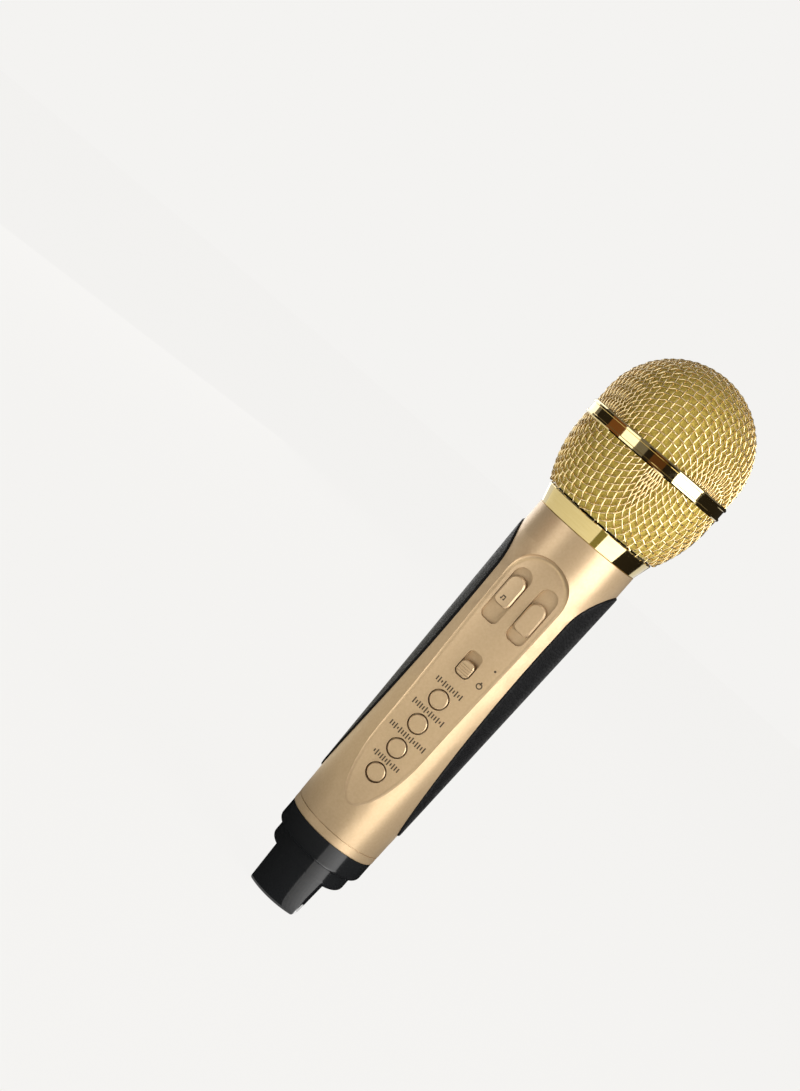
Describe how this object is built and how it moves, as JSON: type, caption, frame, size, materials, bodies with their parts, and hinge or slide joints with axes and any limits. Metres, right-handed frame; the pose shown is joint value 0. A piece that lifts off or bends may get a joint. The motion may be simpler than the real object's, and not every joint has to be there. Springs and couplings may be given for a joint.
{
  "type": "karaoke microphone",
  "caption": "Handheld wireless karaoke microphone: woven ball grille, flared collar, tapered handle with faders, power switch, effect buttons, side grips and a stepped tail.",
  "frame": {"origin": "centre of the microphone's axis at the level of the tail's foot", "axes": "+Z along the microphone from the tail to the ball grille, -Y out of the control panel, +X to the right of someone looking at the panel"},
  "size_m": [0.0578, 0.0578, 0.233],
  "materials": {
    "gold_wire": "gold-plated woven steel wire",
    "gold_chrome": "polished gold plating",
    "foam": "olive-gold windscreen foam",
    "inner_plastic": "black moulded plastic",
    "black_rubber": "soft rubber",
    "bare_metal": "turned aluminium",
    "magnet": "plated magnet",
    "clear_film": "thin polyester film",
    "lead_red": "insulated lead",
    "lead_black": "insulated lead",
    "gold_paint": "satin champagne-gold paint on moulded plastic",
    "grip_rubber": "leather-grained rubber",
    "black_steel": "blackened steel",
    "gloss_black": "glossy black plastic",
    "copper": "enamelled copper",
    "cell_jacket": "printed cell sleeve, plain",
    "nickel": "nickel-plated steel",
    "circuit_board": "green solder mask"
  },
  "bodies": {
    "housing": {"upper_grille": "gold_wire", "lower_grille": "gold_wire", "grille_band": "gold_chrome", "neck_ring": "gold_chrome", "upper_windscreen": "foam", "lower_windscreen": "foam", "capsule_carrier": "inner_plastic", "shock_mount": "black_rubber", "capsule_cup": "bare_metal", "capsule_magnet": "magnet", "capsule_diaphragm": "clear_film", "capsule_front": "bare_metal", "capsule_leads": "lead_red", "front_casing": "gold_paint", "rear_casing": "gold_paint", "left_grip": "grip_rubber", "right_grip": "grip_rubber", "casing_screws": "black_steel", "trim_ring": "gold_paint", "tail_cap": "gloss_black", "tail_screw": "black_steel", "antenna": "copper", "antenna_lead": "lead_black", "battery_tray": "inner_plastic", "battery_cells": "cell_jacket", "battery_springs": "nickel", "battery_contacts": "nickel", "battery_leads": "lead_red", "main_board": "circuit_board", "board_screws": "black_steel", "radio_can": "nickel", "audio_chips": "inner_plastic", "tact_switches": "inner_plastic", "volume_pot": "nickel", "echo_pot": "nickel", "power_switch": "nickel"},
    "volume_fader": {"volume_slider": "gold_paint", "volume_lever": "nickel"},
    "echo_fader": {"echo_slider": "gold_paint", "echo_lever": "nickel"},
    "power_slide": {"power_slider": "gold_paint", "power_lever": "nickel"},
    "button_1": {"effect_button_1": "gold_paint", "tact_plunger_1": "inner_plastic"},
    "button_2": {"effect_button_2": "gold_paint", "tact_plunger_2": "inner_plastic"},
    "button_3": {"effect_button_3": "gold_paint", "tact_plunger_3": "inner_plastic"},
    "button_4": {"effect_button_4": "gold_paint", "tact_plunger_4": "inner_plastic"},
    "door": {"battery_door": "gold_paint"}
  },
  "joints": [
    {"name": "volume_travel", "type": "slide", "parent": "housing", "child": "volume_fader", "axis": [0, -0.0157, 0.9999], "range_m": [-0.0062, 0.0029]},
    {"name": "echo_travel", "type": "slide", "parent": "housing", "child": "echo_fader", "axis": [0, -0.0157, 0.9999], "range_m": [-0.0035, 0.0056]},
    {"name": "power_travel", "type": "slide", "parent": "housing", "child": "power_slide", "axis": [0, -0.0157, 0.9999], "range_m": [0, 0.0035]},
    {"name": "button_1_press", "type": "slide", "parent": "housing", "child": "button_1", "axis": [0, 0.9999, 0.0157], "range_m": [0, 0.0005], "stiffness_N_per_m": 3000},
    {"name": "button_2_press", "type": "slide", "parent": "housing", "child": "button_2", "axis": [0, 0.9999, 0.0157], "range_m": [0, 0.0005], "stiffness_N_per_m": 3000},
    {"name": "button_3_press", "type": "slide", "parent": "housing", "child": "button_3", "axis": [0, 0.9999, 0.0157], "range_m": [0, 0.0005], "stiffness_N_per_m": 3000},
    {"name": "button_4_press", "type": "slide", "parent": "housing", "child": "button_4", "axis": [0, 0.9999, 0.0157], "range_m": [0, 0.0005], "stiffness_N_per_m": 3000},
    {"name": "door_hinge", "type": "hinge", "parent": "housing", "child": "door", "pos_m": [0, 0.019, 0.0876], "axis": [-1, 0, 0], "range_deg": [0, 70]}
  ]
}
